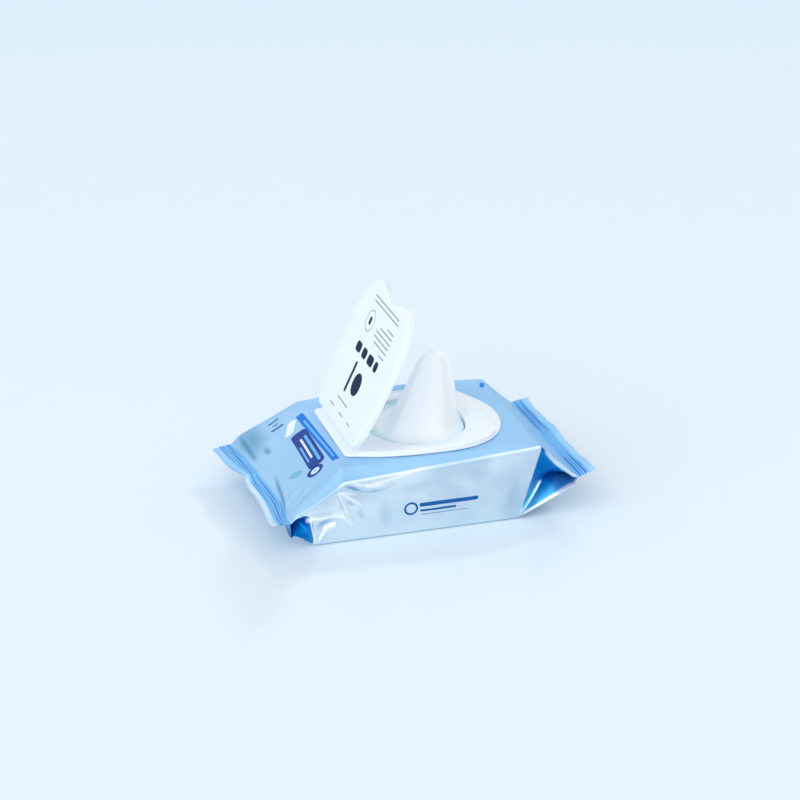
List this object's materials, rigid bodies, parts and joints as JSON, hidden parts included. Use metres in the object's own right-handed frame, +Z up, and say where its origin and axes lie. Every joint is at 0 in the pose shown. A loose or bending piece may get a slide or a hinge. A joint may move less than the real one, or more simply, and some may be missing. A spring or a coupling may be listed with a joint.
{
  "type": "pack of exfoliating pads",
  "caption": "Foil flow pack of wet exfoliating pads with gusseted, crimped ends and a moulded flip-top cap; one pad stands drawn up through the open throat.",
  "frame": {"origin": "on the ground under the middle of the pack, midway between the two end seals' cut edges", "axes": "+X along the pack to the cap's front, +Y across it away from the side that faces the camera, +Z up"},
  "size_m": [0.2046, 0.117, 0.1281],
  "materials": {
    "foil_film": "metallised laminate film, satin blue on top, silver blue on the sides, deep blue in the gussets",
    "cap_plastic": "white moulded polypropylene, softly satin, with simple printed bars on the lid",
    "wet_pad": "wet white nonwoven, slightly translucent"
  },
  "bodies": {
    "pack": {"pouch": "foil_film", "lid_base": "cap_plastic", "lead_pad": "wet_pad", "pad_01": "wet_pad", "pad_02": "wet_pad", "pad_03": "wet_pad", "pad_04": "wet_pad", "pad_05": "wet_pad", "pad_06": "wet_pad", "pad_07": "wet_pad", "pad_08": "wet_pad", "pad_09": "wet_pad", "pad_10": "wet_pad", "pad_11": "wet_pad", "pad_12": "wet_pad", "pad_13": "wet_pad", "pad_14": "wet_pad", "pad_15": "wet_pad", "pad_16": "wet_pad", "pad_17": "wet_pad", "pad_18": "wet_pad", "pad_19": "wet_pad", "pad_20": "wet_pad", "pad_21": "wet_pad", "pad_22": "wet_pad", "pad_23": "wet_pad", "pad_24": "wet_pad", "pad_25": "wet_pad", "pad_26": "wet_pad", "pad_27": "wet_pad", "pad_28": "wet_pad"},
    "flip_lid": {"lid": "cap_plastic"}
  },
  "joints": [
    {"name": "lid_hinge", "type": "hinge", "parent": "pack", "child": "flip_lid", "pos_m": [-0.037, 0, 0.04805], "axis": [0, -1, 0], "range_deg": [-64.7, 40], "deforming": ["lead_pad"]}
  ]
}
